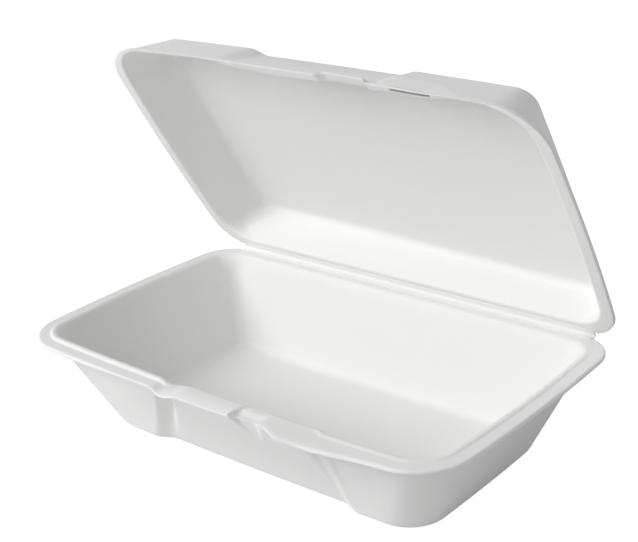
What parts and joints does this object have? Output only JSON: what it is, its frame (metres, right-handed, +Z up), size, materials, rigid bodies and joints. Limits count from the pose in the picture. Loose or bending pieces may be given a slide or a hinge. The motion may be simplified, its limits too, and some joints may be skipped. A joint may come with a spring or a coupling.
{
  "type": "hinged food container",
  "caption": "Hinged foam container: a deep tapered tray and a shallow lid that folds over it along the back, held shut by a tongue under a hood.",
  "frame": {"origin": "centre of the tray's flat underside", "axes": "+X along the long side, to the right as seen from the front; +Y from the front lip to the hinge; +Z up"},
  "size_m": [0.235, 0.166, 0.1765],
  "materials": {
    "foam": "fine closed-cell white foam with a slight sheen"
  },
  "bodies": {
    "tray": {"tray": "foam"},
    "lid": {"lid": "foam"}
  },
  "joints": [
    {"name": "lid_fold", "type": "hinge", "parent": "tray", "child": "lid", "pos_m": [0, 0.07, 0.0476], "axis": [-1, 0, 0], "range_deg": [-57.2, 122.8]}
  ]
}
